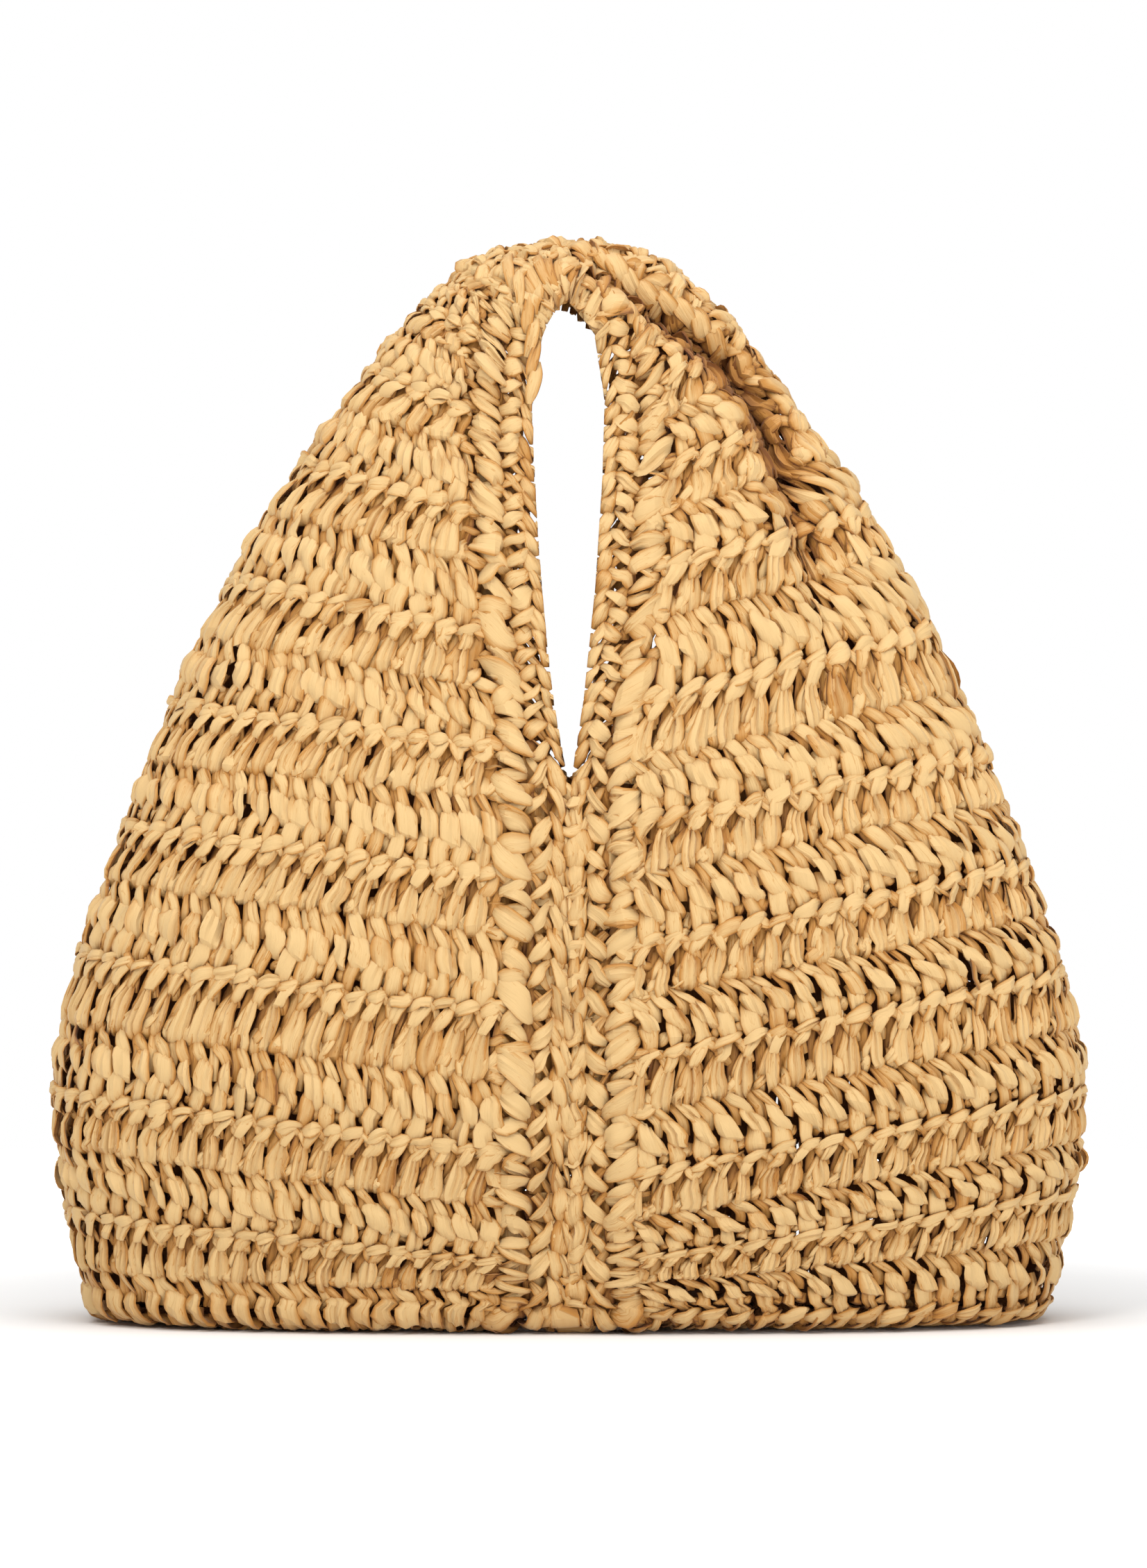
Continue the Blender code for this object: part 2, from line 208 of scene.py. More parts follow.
def row_curve(t, side):
    """Points along one row from the front edge round the side to the back edge."""
    level = max(t, 0.0)
    side_x, side_z, edge_x, edge_z, half_depth = station(level)
    if side > 0.0:
        edge_z -= np.interp(level, range(CROWN + 1), EDGE_DROP)
        edge_x = np.interp(edge_z, STATIONS[:, 3], STATIONS[:, 2])
    power = PLAN_POWER[0] + (PLAN_POWER[1] - PLAN_POWER[0]) * level / CROWN
    angle = np.linspace(0.0, math.pi, 481)
    out = np.abs(np.sin(angle)) ** (2.0 / power)
    back = -np.sign(np.cos(angle)) * np.abs(np.cos(angle)) ** (2.0 / power)
    x = edge_x + (side_x - edge_x) * out
    y = half_depth * back
    rise = out
    if side > 0.0:
        growing = min(1.0, max(0.0, (level - FOLD_LEAN_FROM) / FOLD_LEAN_RISE))
        lean = 1.0 + FOLD_LEAN * growing * min(1.0, (CROWN - level) / FOLD_LEAN_END)
        rise = np.where(back < 0.0, out**lean, out)
    z = edge_z + (side_z - edge_z) * rise
    opened = np.where(back > 0.0, (1.0 - out) ** 2, 0.0)
    wider = min(1.0, max(0.0, level - SEAM_LEVEL)) * min(1.0, CROWN - level)
    higher = min(1.0, max(0.0, 0.5 * (level - CROWN + SLOT_RISE_SPAN)))
    x = x + BACK_SLOT_SHIFT[0] * opened * wider
    z = z + BACK_SLOT_SHIFT[1] * opened * higher
    share = min(1.0, level) * min(1.0, max(0.0, 1.0 - (level - SEAM_LEVEL) / VALLEY_FADE))
    y = y - np.sign(y) * VALLEY_DEPTH * share * np.exp(-(((x - edge_x) / VALLEY_WIDTH) ** 2))
    if side > 0.0:
        shift = fold_shift(x, z)
        x, y, z = (np.where(y < 0.0, value + moved, value) for value, moved in zip((x, y, z), shift))
    points = np.column_stack((x, y, z))
    if t < 0.0:
        points = turned_under(points, -t * STATION_RISE)
    points[:, 0] *= side
    return points


def turned_under(points, distance):
    """The foot of the wall moved on round the turned edge and inwards over the base."""
    along = np.gradient(points, axis=0)
    inward = np.column_stack((-along[:, 1], along[:, 0]))
    inward /= np.linalg.norm(inward, axis=1, keepdims=True) + 1e-9
    angle = min(distance / TURN_RADIUS, 0.5 * math.pi)
    inset = TURN_RADIUS * (1.0 - math.cos(angle)) + max(0.0, distance - 0.5 * math.pi * TURN_RADIUS)
    drop = (points[0, 2] - BASE_Z) * math.sin(angle)
    moved = points.copy()
    moved[:, :2] += inward * inset
    moved[:, 0] = np.maximum(moved[:, 0], BASE_GAP_X)
    in_front = np.minimum(moved[:, 1], -BASE_GAP_Y)
    behind = np.maximum(moved[:, 1], BASE_GAP_Y)
    moved[:, 1] = np.where(points[:, 1] < 0.0, in_front, behind)
    moved[:, 2] -= drop
    return moved


class Side:
    """One half of the bag as a fine grid, with u running to the right as seen from outside."""

    steps = np.linspace(BASE, CROWN, 253)
    shares = np.linspace(0.0, 1.0, 361)

    def __init__(self, side):
        self.side = side
        grid = []
        lengths = []
        for t in self.steps:
            points = row_curve(t, side)
            if side < 0.0:
                points = points[::-1]
            run = np.concatenate(([0.0], np.cumsum(np.linalg.norm(np.diff(points, axis=0), axis=1))))
            grid.append([np.interp(self.shares * run[-1], run, points[:, k]) for k in range(3)])
            lengths.append(run[-1])
        self.grid = np.array(grid).transpose(0, 2, 1)
        self.length = np.array(lengths)
        across = np.gradient(self.grid, axis=1)
        up = np.gradient(self.grid, axis=0)
        normal = np.cross(across, up)
        size = np.linalg.norm(normal, axis=2, keepdims=True)
        self.normal = normal / np.maximum(size, 1e-12)
        edge = self.grid[:, 0 if side > 0.0 else -1, 2]
        self.seam_top = float(np.interp(SEAM_TOP_Z, edge, self.steps))

    def row_length(self, t):
        return np.interp(t, self.steps, self.length)

    def border(self, t):
        return np.minimum(BORDER_WIDTH, BORDER_SHARE * self.row_length(t))

    def place(self, t, u, c):
        """World points for stations t, distances u along the row and heights c off the fabric."""
        share = np.clip(u / self.row_length(t), 0.0, 1.0) * (len(self.shares) - 1)
        step = (np.clip(t, BASE, CROWN) - BASE) / (self.steps[1] - self.steps[0])
        i = np.minimum(step.astype(int), len(self.steps) - 2)
        j = np.minimum(share.astype(int), len(self.shares) - 2)
        a = (step - i)[..., None]
        b = (share - j)[..., None]

        def mix(field):
            low = field[i, j] * (1 - b) + field[i, j + 1] * b
            high = field[i + 1, j] * (1 - b) + field[i + 1, j + 1] * b
            return low * (1 - a) + high * a

        world = mix(self.grid) + mix(self.normal) * c[..., None]
        world[..., 2] = np.maximum(world[..., 2], GROUND_Z)
        return world


# ---------------------------------------------------------------- ribbons


ACROSS = np.array((-1.0, -0.9, -0.56, -0.2, 0.12, 0.48, 0.9, 1.0, 0.45, -0.45))
DOME = np.array((0.12, 0.62, 0.88, 1.0, 1.0, 0.88, 0.62, 0.12, -0.2, -0.2))
ON_TOP = DOME >= 0.0
# How much each point of the ring takes of the painted shade at a ribbon's rim: its outer edges on top, and its
# underside.
RIM_SHADE_MASK = np.where(ON_TOP, np.abs(ACROSS) ** 6, 0.3)
RING = len(ACROSS)
PLEATED = np.array((0.0, 0.0, 1.0, 0.0, 1.1, 0.0, 0.2, 0.0, 0.0, 0.0))
# Edges sharper than this angle, in radians, stay sharp; a ribbon's thickness is this share of its width.
SHARP_ANGLE = 0.52
THICKNESS = 0.19
# Tone: 0 is the brown of shaded creases and 1 light straw. As painted light and shade it rises with the height
# off the fabric, up to
# TONE_HEIGHT mm, and falls towards a ribbon's rim and towards the floor.
TONE_MEAN, DRAWN_TONE_MEAN, TONE_SPREAD = 0.5, 0.7, 0.08
DEPTH_PAINTED_SHADE, TONE_HEIGHT, RIM_PAINTED_SHADE = 0.38, 4.0, 0.48
BASE_PAINTED_SHADE, BASE_SHADE_HEIGHT = 0.22, 0.026
# How far a ribbon strays from its pattern at a jitter of 1: each point and the whole ribbon, in the
# fabric and off it, in mm; the widths as shares; and the twist and its change along it in radians.
POINT_STRAY, POINT_LIFT, RIBBON_STRAY, RIBBON_LIFT = 0.34, 0.22, 0.35, 0.30
POINT_WIDTH_SPREAD, RIBBON_WIDTH_SPREAD = 0.08, 0.10
TWIST_SPREAD, TWIST_CHANGE = 0.20, 0.18
LEAST_WIDTH = 0.4
# Each ribbon's streaks start anywhere in this many mm of the material, which is in units of 10 mm.
UV_SPREAD, UV_SCALE = 400.0, 0.1


def spline_weights(count, samples):
    """Weights that turn control points into a smooth run of samples."""
    weights = np.zeros((samples, count))
    for row, place in enumerate(np.linspace(0.0, count - 1, samples)):
        k = min(int(place), count - 2)
        u = place - k
        parts = (
            -0.5 * u + u**2 - 0.5 * u**3,
            1.0 - 2.5 * u**2 + 1.5 * u**3,
            0.5 * u + 2.0 * u**2 - 1.5 * u**3,
            -0.5 * u**2 + 0.5 * u**3,
        )
        for offset, part in zip((-1, 0, 1, 2), parts):
            weights[row, min(max(k + offset, 0), count - 1)] += part
    return weights


class Cloth:
    """Collects ribbons and makes them one mesh object."""

    def __init__(self):
        self.points = []
        self.faces = []
        self.caps = []
        self.uv = []
        self.tone_and_shade = []
        self.total = 0

    def add(self, rings, uv, tone_and_shade):
        """rings: (ribbons, samples, RING, 3) world points; uv and tint as many."""
        count, samples = rings.shape[:2]
        index = np.arange(count * samples * RING).reshape(count, samples, RING) + self.total
        nxt = np.roll(index, -1, axis=2)
        quads = np.stack((index[:, :-1], nxt[:, :-1], nxt[:, 1:], index[:, 1:]), axis=-1)
        self.faces.append(quads.reshape(-1, 4))
        self.caps.append(index[:, 0, ::-1])
        self.caps.append(index[:, -1])
        self.points.append(rings.reshape(-1, 3))
        self.uv.append(uv.reshape(-1, 2))
        self.tone_and_shade.append(tone_and_shade.reshape(-1))
        self.total += count * samples * RING

    def build(self, name, material):
        points = np.concatenate(self.points)
        quads = np.concatenate(self.faces)
        caps = np.concatenate(self.caps)
        corners = np.concatenate((quads.ravel(), caps.ravel()))
        starts = np.concatenate(
            (np.arange(len(quads)) * 4, len(quads) * 4 + np.arange(len(caps)) * RING)
        )
        mesh = bpy.data.meshes.new(name)
        mesh.vertices.add(len(points))
        mesh.vertices.foreach_set("co", points.ravel())
        mesh.loops.add(len(corners))
        mesh.loops.foreach_set("vertex_index", corners.astype(np.int32))
        mesh.polygons.add(len(starts))
        mesh.polygons.foreach_set("loop_start", starts.astype(np.int32))
        mesh.update(calc_edges=True)
        mesh.shade_smooth()
        mesh.set_sharp_from_angle(angle=SHARP_ANGLE)
        layer = mesh.uv_layers.new(name="ribbon")
        layer.uv.foreach_set("vector", np.concatenate(self.uv)[corners].ravel())
        # Each point's tone: random, and with painted light and shade.
        tone_and_shade = mesh.attributes.new("tone_and_shade", "FLOAT", "POINT")
        tone_and_shade.data.foreach_set("value", np.concatenate(self.tone_and_shade).astype(np.float32))
        mesh.materials.append(material)
        obj = bpy.data.objects.new(name, mesh)
        bpy.context.scene.collection.objects.link(obj)
        return obj



def ring_offsets(wide, pleats=0.0):
    """Across and outward offsets of each ring for ribbons of these widths, with a crease or two."""
    count, samples = wide.shape
    crease = rng.normal(0.0, 0.12, (count, 1, RING)) + rng.normal(0.0, 0.05, (count, samples, RING))
    fold = rng.integers(2, 6, count)
    depth = np.clip(rng.normal(0.6, 0.4, count), 0.0, 1.3)
    fade = 0.6 + 0.4 * np.cos(np.linspace(0.0, 5.0, samples) + rng.uniform(0.0, 6.0, (count, 1)))
    crease[np.arange(count)[:, None], np.arange(samples), fold[:, None]] -= depth[:, None] * fade
    crease -= pleats * PLEATED * np.linspace(1.2, 0.3, samples)[:, None]
    across = ACROSS + rng.normal(0.0, 0.045, (count, 1, RING))
    half = 0.5 * wide[..., None] * across
    height = (DOME + crease) * THICKNESS * wide[..., None]
    return half, np.where(ON_TOP, height, -0.04 * wide[..., None] - 0.25)


def lay(cloth, put, pattern, cells, cell, jitter=1.0, samples=9, shade=0.0, shear=0.0, pleats=0.0):
    """Lays one ribbon of the pattern in each cell.

    pattern: (a, b, c, width) with a in columns, b in rows, c and width in mm. cell: the size of a
    column and a row in mm. put(a, b, c, cells) turns mm in a cell into world points. shear slants
    the cut ends, and pleats is how deep the folds are that run down from the first point.
    """
    pattern = np.array(pattern)
    count = len(cells)
    nodes = len(pattern)
    path = np.repeat(pattern[None, :, :3], count, axis=0)
    path[..., 0] *= cell[0]
    path[..., 1] *= cell[1]
    path[..., :2] += rng.normal(0.0, POINT_STRAY * jitter, (count, nodes, 2))
    path[..., 2] += rng.normal(0.0, POINT_LIFT * jitter, (count, nodes))
    path[..., :2] += rng.normal(0.0, RIBBON_STRAY * jitter, (count, 1, 2))
    path[..., 2] += rng.normal(0.0, RIBBON_LIFT * jitter, (count, 1))
    width = pattern[None, :, 3] * rng.normal(1.0, POINT_WIDTH_SPREAD * jitter, (count, nodes))
    width = width * rng.normal(1.0, RIBBON_WIDTH_SPREAD * jitter, (count, 1))
    weights = spline_weights(nodes, samples)
    line = np.einsum("sn,mnk->msk", weights, path)
    wide = np.maximum(np.einsum("sn,mn->ms", weights, width), LEAST_WIDTH)
    along = np.gradient(line, axis=1)
    along /= np.linalg.norm(along, axis=2, keepdims=True)
    out = np.array((0.0, 0.0, 1.0)) - along[..., 2:3] * along
    out /= np.linalg.norm(out, axis=2, keepdims=True)
    side = np.cross(along, out)
    turn = rng.normal(0.0, TWIST_SPREAD * jitter, (count, 1))
    turn = turn + np.linspace(-1.0, 1.0, samples) * rng.normal(0.0, TWIST_CHANGE * jitter, (count, 1))
    turned_side = side * np.cos(turn)[..., None] + out * np.sin(turn)[..., None]
    turned_out = out * np.cos(turn)[..., None] - side * np.sin(turn)[..., None]
    half, height = ring_offsets(wide, pleats)
    rings = line[:, :, None, :] + turned_side[:, :, None, :] * half[..., None]
    flat = along * (1.0, 1.0, 0.0)
    flat /= np.linalg.norm(flat, axis=2, keepdims=True)
    rings = rings + flat[:, :, None, :] * (half * shear)[..., None]
    rings = rings + turned_out[:, :, None, :] * height[..., None]
    world = put(rings[..., 0], rings[..., 1], rings[..., 2] * MM, cells[:, None, None])
    run = np.cumsum(np.linalg.norm(np.diff(line, axis=1, prepend=line[:, :1]), axis=2), axis=1)
    start = rng.uniform(0.0, UV_SPREAD, (count, 2))
    uv = np.stack(
        (half + start[:, None, None, 0], np.repeat(run[..., None], RING, axis=2) + start[:, None, None, 1]),
        axis=-1,
    )
    # A ribbon's tone is random plus its shade; darker shades on strands lying behind others, such as the back
    # stitch's strand behind, are painted shade.
    tone = rng.normal(TONE_MEAN, TONE_SPREAD, (count, 1, 1)) + shade
    # Painted light and shade: lighter high off the fabric, darker deep in it and at each ribbon's rims.
    tone = tone + DEPTH_PAINTED_SHADE * np.clip(rings[..., 2] / TONE_HEIGHT, -1.0, 1.0) - RIM_PAINTED_SHADE * RIM_SHADE_MASK
    # Painted shade near the floor, darker towards the bottom of the bag.
    tone = tone - BASE_PAINTED_SHADE * np.clip(1.0 - world[..., 2] / BASE_SHADE_HEIGHT, 0.0, 1.0)
    # Painted shade in the fold of the right tongue.
    if world[..., 2].max() > FOLD[-1, 1]:
        tone = tone - fold_painted_shade(world)
    cloth.add(world, uv * UV_SCALE, tone)



# ---------------------------------------------------------------- stitches: a, b, c, width

# How untidy each kind of stitch is.
ROW_JITTER, BORDER_JITTER, SEAM_JITTER, CAP_JITTER = 1.2, 1.6, 2.0, 2.4

# Front of a double crochet: the right strand of a V, its left leaf, a tie, the foot and the leaf
# wrapped round the post, which has upright sides and ends that slope down to the right.
FRONT_STITCH = (
    (
        ((0.10, 1.05, -0.8, 3.4), (0.30, 0.89, 1.0, 4.4), (0.45, 0.70, 1.2, 5.0), (0.36, 0.50, 0.0, 4.4)),
        -0.04,
    ),
    (
        ((-0.64, 1.07, -0.8, 3.6), (-0.45, 0.94, 1.9, 5.4), (-0.18, 0.80, 2.4, 5.8), (0.06, 0.64, 1.0, 4.6)),
        0.02,
    ),
    (
        ((0.08, 0.10, -0.6, 3.0), (0.20, 0.16, 1.0, 4.4), (0.36, 0.22, 1.0, 4.2), (0.50, 0.30, -0.6, 3.0)),
        -0.04,
    ),
    (
        (
            (-0.08, 0.50, -0.2, 6.4),
            (-0.17, 0.34, 2.2, 7.4),
            (-0.27, 0.16, 2.6, 7.6),
            (-0.34, 0.02, 1.4, 7.2),
            (-0.37, -0.06, -1.0, 6.2),
        ),
        0.0,
        0.1,
    ),
    (
        (
            (-0.08, 0.77, 0.2, 4.0),
            (-0.01, 0.66, 2.9, 7.8),
            (0.03, 0.51, 3.9, 9.4),
            (0.06, 0.36, 3.3, 8.6),
            (0.09, 0.25, 0.2, 5.0),
        ),
        0.05,
        -0.5,
        0.4,
    ),
)
# Chain line: a folded leaf over each column and a thin one behind it.
CHAIN_STITCH = (
    (((-0.10, 1.3, 0.2, 2.4), (0.14, 0.7, 2.0, 3.8), (0.40, 0.0, 2.0, 3.8), (0.60, -0.6, 0.2, 2.6)), -0.02),
    (
        (
            (-0.60, -0.50, -0.6, 2.4),
            (-0.33, 0.00, 2.5, 4.9),
            (0.04, 0.35, 3.7, 5.8),
            (0.36, 0.60, 2.8, 4.7),
            (0.58, 0.70, -0.6, 2.4),
        ),
        0.06,
        -0.35,
    ),
)
# Back of a double crochet: a strand behind, the knot, its tie, a side pleat, the fan that widens
# downwards, and the two leaves that cross above it. The strand behind is darker: painted shade, as it lies
# behind the fans.
BACK_STITCH = (
    (
        ((0.30, 1.02, -0.9, 4.2), (0.22, 0.72, 0.0, 5.0), (0.11, 0.40, 0.0, 4.8), (0.02, 0.08, -0.8, 4.0)),
        -0.13,
    ),
    (
        ((-0.03, 0.34, -0.6, 3.8), (0.0, 0.20, 1.8, 5.2), (0.02, 0.05, 2.1, 5.4), (0.02, -0.08, -0.8, 4.4)),
        0.0,
    ),
    (((-0.16, 0.06, 0.2, 3.0), (0.02, 0.12, 2.6, 4.4), (0.20, 0.24, 2.2, 4.2), (0.34, 0.38, 0.0, 2.4)), 0.02),
    (
        ((-0.42, 0.80, 0.0, 2.6), (-0.63, 0.56, 1.7, 4.2), (-0.79, 0.34, 2.0, 5.0), (-0.84, 0.18, 0.2, 3.4)),
        -0.02,
    ),
    (
        (
            (-0.32, 0.84, -0.2, 2.8),
            (-0.41, 0.66, 2.0, 5.2),
            (-0.47, 0.42, 3.0, 7.6),
            (-0.50, 0.16, 3.3, 8.0),
            (-0.50, 0.00, 2.0, 7.2),
            (-0.49, -0.07, -1.2, 6.2),
        ),
        0.02,
        0.22,
        1.2,
    ),
    (
        ((-0.62, 1.06, 0.0, 3.4), (-0.45, 0.90, 1.6, 4.8), (-0.27, 0.74, 1.8, 4.6), (-0.12, 0.56, 0.2, 3.0)),
        -0.03,
    ),
    (
        (
            (0.16, 1.12, -0.4, 3.6),
            (0.00, 0.97, 2.6, 5.2),
            (-0.18, 0.82, 3.3, 5.4),
            (-0.33, 0.68, 2.5, 4.6),
            (-0.38, 0.62, 0.6, 3.2),
        ),
        0.04,
        0.3,
    ),
)
# The inner face, seen through the gaps.
LINING_STITCH = ((((0.2, 1.05, -3.6, 13.0), (0.2, 0.5, -4.0, 13.0), (0.2, -0.05, -3.6, 13.0)), 0.1),)
# Where each kind of row lies between two dark lines, and how far it leans on each side.
ROW_KINDS = (
    (BACK_STITCH, 0.00, 0.425, {"left": 0.30, "right": 0.0}),
    (FRONT_STITCH, 0.475, 1.00, {"left": 0.0, "right": -0.75}),
    (CHAIN_STITCH, 0.42, 0.49, {"left": 0.0, "right": 0.0}),
    (LINING_STITCH, 0.00, 0.50, {"left": 0.0, "right": 0.0}),
    (LINING_STITCH, 0.50, 1.00, {"left": 0.0, "right": 0.0}),
)


def with_defaults(stitch):
    """Each ribbon of a stitch as its points, shade, shear and pleats."""
    for ribbon in stitch:
        yield (*ribbon, *(0.0, 0.0)[len(ribbon) - 2 :])


def knit_rows(cloth, shape, word, low, high):
    """The three kinds of rows between the dark lines at stations low and high."""
    middle = 0.5 * (low + high)
    panel = float(shape.row_length(middle) - 2.0 * shape.border(middle))
    column = COLUMN[word]
    columns = max(3, round(panel / (column * MM)))
    rise = (high - low) * STATION_RISE / MM
    breadth = float(np.interp(middle, BREADTH_STATIONS, BREADTH[word]))
    for stitch, bottom, top, leans in ROW_KINDS:
        lean = leans[word] * column
        height = (top - bottom) * rise
        cells = np.arange(columns)
        if stitch is LINING_STITCH:
            if high > LINING_TOP:
                cells = cells[np.abs(cells / columns - 0.5) > LINING_GAP]
            else:
                back = cells >= columns // 2 if shape.side > 0.0 else cells <= columns // 2
                cells = cells[back]

        def put(a, b, c, cells, bottom=bottom, height=height, lean=lean, top=top):
            share = bottom + (top - bottom) * b / height
            t = low + (high - low) * share
            border = shape.border(t)
            pitch = (shape.row_length(t) - 2.0 * border) / columns
            lean_now = lean * (b / height - 0.5)
            u = border + (cells + 0.5 + (a + lean_now) / column) * pitch
            return shape.place(t, u, c)

        for pattern, shade, shear, pleats in with_defaults(stitch):
            drawn = np.array(pattern) * (1.0, 1.0, 1.0, breadth)
            lay(cloth, put, drawn, cells, (column, height), ROW_JITTER, shade=shade, shear=shear, pleats=pleats)


# ---------------------------------------------------------------- borders
#
# Patterns here have a in mm from the edge, b in steps or rows, and are mirrored for the left side.

STEP = 8.4
SEAM_STEP = 12.6
# A braid along the edge: a loop round it, a leaf on it and two legs that cross beside it.
EDGE_STITCH = (
    (((2.6, 0.62, 1.4, 3.2), (-0.6, 0.52, 0.6, 4.4), (-1.4, 0.40, -2.0, 4.4), (1.4, 0.30, -4.0, 3.6)), 0.25),
    (((14.0, 0.92, 0.0, 3.4), (11.4, 0.62, 1.6, 4.4), (8.4, 0.26, 1.4, 4.4), (6.0, 0.0, 0.0, 3.0)), -0.03),
    (((15.8, 0.1, -2.0, 5.0), (15.4, 0.5, -1.2, 6.0), (15.8, 0.95, -2.0, 5.0)), -0.12),
    (
        ((5.6, 1.10, 0.2, 3.2), (4.2, 0.74, 2.4, 5.8), (2.4, 0.32, 2.2, 6.2), (0.9, -0.12, -0.6, 3.8)),
        0.02,
        -0.2,
    ),
    (
        ((5.6, 1.00, 0.4, 3.8), (8.6, 0.66, 3.2, 5.8), (12.2, 0.30, 3.4, 6.2), (15.4, 0.0, 0.8, 4.0)),
        0.05,
        0.25,
    ),
)
# The inner face of a border.
BORDER_LINING = (
    (((9.6, 1.05, -3.8, 13.0), (9.6, 0.5, -4.0, 13.0), (9.6, -0.05, -3.8, 13.0)), 0.2),
    (((24.0, 1.05, -5.0, 18.0), (24.0, 0.5, -5.2, 18.0), (24.0, -0.05, -5.0, 18.0)), 0.2),
)
# The ends of the rows: fat wraps one over another, with bridges to the panel at top and bottom.
END_STITCH = (
    (
        ((16.8, 1.06, 0.0, 5.0), (19.6, 1.00, 2.6, 6.9), (23.8, 0.86, 3.0, 7.4), (27.0, 0.72, 0.0, 5.4)),
        0.0,
        0.4,
    ),
    (
        ((15.8, 0.56, 0.0, 5.4), (19.4, 0.66, 3.1, 8.1), (23.8, 0.72, 3.5, 7.7), (27.0, 0.74, 0.2, 5.0)),
        0.03,
        -0.2,
    ),
    (
        ((15.4, 0.46, 0.2, 5.0), (19.0, 0.44, 3.2, 7.4), (23.8, 0.42, 3.4, 8.1), (28.4, 0.40, 0.2, 6.0)),
        0.0,
        0.3,
    ),
    (
        ((14.6, 0.02, 0.2, 5.4), (18.4, 0.08, 3.8, 8.9), (24.6, 0.22, 4.2, 10.0), (29.4, 0.36, 0.2, 6.0)),
        0.05,
        -0.4,
    ),
    (((23.0, 0.95, 0.0, 3.4), (27.4, 1.0, 1.8, 5.0), (31.6, 1.03, 1.8, 5.0), (34.6, 1.0, 0.2, 3.4)), 0.0),
    (((24.0, 0.04, 0.0, 3.4), (28.0, 0.0, 2.0, 5.2), (32.2, 0.02, 1.6, 5.0), (35.4, 0.08, 0.0, 3.2)), -0.03),
    (
        ((25.0, 0.50, -0.6, 2.4), (28.4, 0.54, 1.2, 3.4), (32.0, 0.52, 1.0, 3.4), (35.0, 0.48, -0.4, 2.4)),
        -0.06,
    ),
)
# The seam's middle: a strand, a wrap and an upright leaf at each step.
SEAM_STITCH = (
    (
        ((-4.0, 1.0, -0.6, 4.6), (-4.8, 0.62, 1.6, 6.8), (-5.2, 0.22, 1.4, 6.8), (-4.2, -0.10, -0.6, 4.6)),
        -0.1,
    ),
    (((3.2, 1.02, 0.0, 4.6), (3.6, 0.66, 2.4, 7.6), (4.2, 0.32, 2.6, 8.0), (4.8, -0.02, 0.6, 5.4)), 0.0, 0.2),
    (((-3.4, 1.06, 0.0, 3.6), (-1.4, 0.68, 2.6, 5.6), (0.2, 0.26, 2.2, 5.2), (1.2, -0.08, 0.0, 3.4)), 0.03),
    (
        ((-1.6, 0.02, 0.4, 4.0), (1.6, -0.04, 3.2, 6.2), (5.0, 0.0, 3.2, 6.2), (7.8, 0.12, 0.4, 4.0)),
        0.03,
        -0.3,
    ),
)
SEAM_SHIFT = 2.4


def arc_marks(shape, front, low, high, step):
    """Stations along a border at one stitch step from each other."""
    t = np.linspace(low, high, 400)
    points = shape.place(t, edge_place(shape, front, t, np.full(len(t), 0.008)), np.zeros(len(t)))
    run = np.concatenate(([0.0], np.cumsum(np.linalg.norm(np.diff(points, axis=0), axis=1))))
    steps = max(1, round(run[-1] / (step * MM)))
    return np.interp(np.linspace(0.0, run[-1], steps + 1), run, t)


def row_marks(word, low, high):
    """Stations where one row meets the next."""
    lines = np.array(ROW_LINES[word])
    marks = np.sort(np.concatenate((lines, lines[:-1] + CHAIN_SHARE * np.diff(lines))))
    return marks[(marks >= low) & (marks <= high)]


def edge_place(shape, front, t, a):
    """Distance along the row for a distance a in from the front or back edge."""
    from_start = front == (shape.side > 0.0)
    return a if from_start else shape.row_length(t) - a


def knit_border(cloth, shape, front, stitch, marks, shift=0.0):
    """One column of border stitches between each two marks, which are stations."""
    cells = np.arange(len(marks) - 1)
    mirrored = front != (shape.side > 0.0)
    positions = np.arange(len(marks))
    height = STEP if len(marks) < 2 else float(np.mean(np.diff(marks))) * STATION_RISE / MM

    def put(a, b, c, cells):
        place = cells + b / height
        t = np.interp(place, positions, marks)
        over = place - np.clip(place, 0, positions[-1])
        t = t + over * height * MM / STATION_RISE
        squeeze = shape.border(t) / BORDER_WIDTH
        inwards = -a if mirrored else a
        return shape.place(t, edge_place(shape, front, t, (inwards + shift) * squeeze * MM), c)

    for pattern, shade, shear, _ in with_defaults(stitch):
        drawn = np.array(pattern)
        if mirrored:
            drawn[:, 0] *= -1.0
            shear = -shear
        lay(cloth, put, drawn, cells, (1.0, height), BORDER_JITTER, shade=shade, shear=shear)


def knit_seam(cloth, shape, front, marks):
    """The column of stitches in the valley between the two halves."""
    cells = np.arange(len(marks) - 1)
    positions = np.arange(len(marks))

    def put(a, b, c, cells):
        t = np.interp(cells + b / SEAM_STEP, positions, marks)
        world = shape.place(t, edge_place(shape, front, t, np.abs(a) * MM), c)
        world[..., 0] *= np.where(a < 0.0, -1.0, 1.0)
        return world

    for pattern, shade, shear, _ in with_defaults(SEAM_STITCH):
        drawn = np.array(pattern)
        if not front:
            drawn[:, 0] *= -1.0
            shear = -shear
        lay(cloth, put, drawn, cells, (1.0, SEAM_STEP), SEAM_JITTER, shade=shade, shear=shear)


# ---------------------------------------------------------------- crown
#
# Ribbons drawn one by one on the front, as x, z, height off the fabric and width in mm; they are
# repeated on the back, all but one cord, turned half a turn about the upright axis.


# What lies nearer the front than this y counts as the front, in metres.
FRONT_REACH = 0.004


def spot(shapes, x, z):
    """The place on the front's surface nearest to x, z, and the normal there."""
    shape = shapes["left" if x < 0.0 else "right"]
    front = shape.grid[..., 1] < FRONT_REACH
    away = np.where(front, (shape.grid[..., 0] - x) ** 2 + (shape.grid[..., 2] - z) ** 2, 1.0)
    i, j = np.unravel_index(np.argmin(away), away.shape)
    return shape.grid[i, j], shape.normal[i, j]


